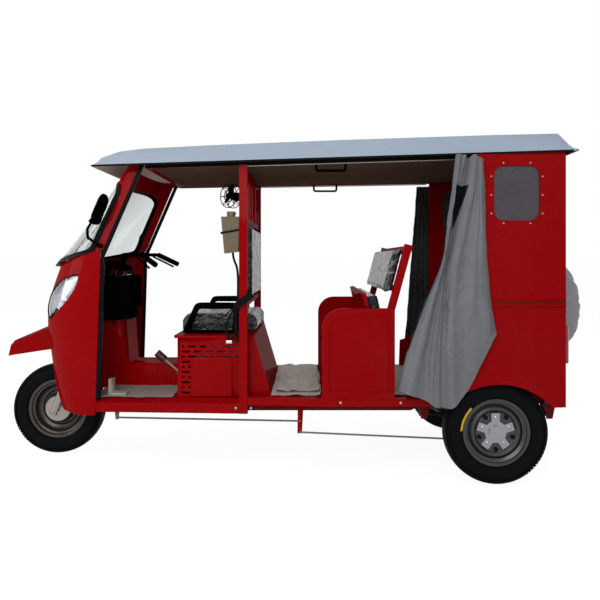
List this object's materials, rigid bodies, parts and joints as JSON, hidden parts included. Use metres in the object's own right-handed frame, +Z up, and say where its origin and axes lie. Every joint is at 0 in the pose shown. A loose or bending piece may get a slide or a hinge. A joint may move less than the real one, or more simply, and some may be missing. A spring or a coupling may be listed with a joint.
{
  "type": "auto rickshaw",
  "caption": "Passenger auto rickshaw with a red open-sided body, blue-grey roof, raked wrap-round screen, fold-up middle seat and grey curtains.",
  "frame": {"origin": "on the ground under the middle of the bounding box", "axes": "minus X to the nose, plus X to the tail, minus Y to the left side, plus Z up"},
  "size_m": [3.438, 1.2926, 1.8934],
  "materials": {
    "axle_black": "black painted steel",
    "cast_alloy": "raw cast alloy",
    "cover_grey": "grey coated vinyl cover",
    "curtain_grey": "grey coated curtain cloth",
    "exhaust_steel": "black heat-proof paint",
    "frame_red_oxide": "dark red painted frame members",
    "glass_clear": "clear curved safety glass",
    "hub_silver": "bright hub cover",
    "lamp_lens": "clear moulded lamp lens",
    "lamp_red": "red rear lamp lens",
    "liner_beige": "beige headliner board",
    "paint_red": "glossy red paint on pressed steel",
    "paint_roof": "light blue-grey painted roof skin",
    "plastic_beige": "beige plastic",
    "plastic_black": "black moulded plastic",
    "rim_dark": "dark grey painted steel rim",
    "rim_grey": "grey painted steel rim",
    "rubber_black": "black rubber seal",
    "tyre_black": "black tyre rubber",
    "vinyl_black": "black seat vinyl under clear wrapping film",
    "window_film": "grey film-covered pane",
    "zinc_plate": "zinc-plated steel"
  },
  "bodies": {
    "chassis": {"body_windows": "window_film", "brake_linkage": "zinc_plate", "chassis_frame": "frame_red_oxide", "coolant_tank": "plastic_beige", "curtain_left": "curtain_grey", "curtain_right": "curtain_grey", "dash_panel": "plastic_black", "door_seals": "rubber_black", "drive_shaft": "axle_black", "driver_armrests": "plastic_black", "driver_controls": "plastic_beige", "driver_seat_back": "vinyl_black", "driver_seat_base": "paint_red", "driver_seat_cushion": "vinyl_black", "engine_block": "cast_alloy", "exhaust": "exhaust_steel", "fan_cage": "plastic_black", "floor_deck": "paint_red", "grab_handles": "plastic_black", "headlamps": "lamp_lens", "leaf_springs": "axle_black", "middle_back_pad": "vinyl_black", "middle_bench": "paint_red", "mirrors": "plastic_black", "nose_shell": "paint_red", "rear_axle": "axle_black", "rear_bench_back": "vinyl_black", "rear_bench_base": "paint_red", "rear_bench_cushion": "vinyl_black", "rear_side_left": "paint_red", "rear_side_right": "paint_red", "rear_wall": "paint_red", "roof_frame": "paint_red", "roof_liner": "liner_beige", "roof_shell": "paint_roof", "side_sills": "paint_red", "spare_wheel_cover": "cover_grey", "tail_lamps": "lamp_red", "wheel_housing": "paint_red", "windscreen_frame": "paint_red", "windscreen_glass": "glass_clear", "windscreen_seal": "rubber_black"},
    "steering_fork": {"front_fork": "zinc_plate", "handlebar": "plastic_black", "front_mudguard": "paint_red"},
    "front_wheel": {"front_tyre": "tyre_black", "front_rim": "rim_grey"},
    "rear_wheel_left": {"rear_left_tyre": "tyre_black", "rear_left_rim": "rim_dark", "rear_left_hub_cover": "hub_silver"},
    "rear_wheel_right": {"rear_right_tyre": "tyre_black", "rear_right_rim": "rim_dark", "rear_right_hub_cover": "hub_silver"},
    "fold_seat": {"fold_seat_pan": "paint_red", "fold_seat_cushion": "vinyl_black"},
    "fan_rotor": {"fan_blades": "plastic_black"}
  },
  "joints": [
    {"name": "steering", "type": "hinge", "parent": "chassis", "child": "steering_fork", "pos_m": [-1.00394, 0, 1.19005], "axis": [0.3584, 0, 0.9336], "range_deg": [-35, 35]},
    {"name": "front_wheel_spin", "type": "hinge", "parent": "steering_fork", "child": "front_wheel", "pos_m": [-1.405, 0, 0.275], "axis": [0, 1, 0], "continuous": true},
    {"name": "rear_left_spin", "type": "hinge", "parent": "chassis", "child": "rear_wheel_left", "pos_m": [1.12, -0.52, 0.275], "axis": [0, 1, 0], "continuous": true},
    {"name": "rear_right_spin", "type": "hinge", "parent": "chassis", "child": "rear_wheel_right", "pos_m": [1.12, 0.52, 0.275], "axis": [0, 1, 0], "continuous": true},
    {"name": "fold_seat_hinge", "type": "hinge", "parent": "chassis", "child": "fold_seat", "pos_m": [0.517, 0, 0.684], "axis": [0, 1, 0], "range_deg": [-77, 0]},
    {"name": "fan_spin", "type": "hinge", "parent": "chassis", "child": "fan_rotor", "pos_m": [-0.341, -0.06, 1.575], "axis": [0.6561, 0.7547, 0], "continuous": true}
  ]
}
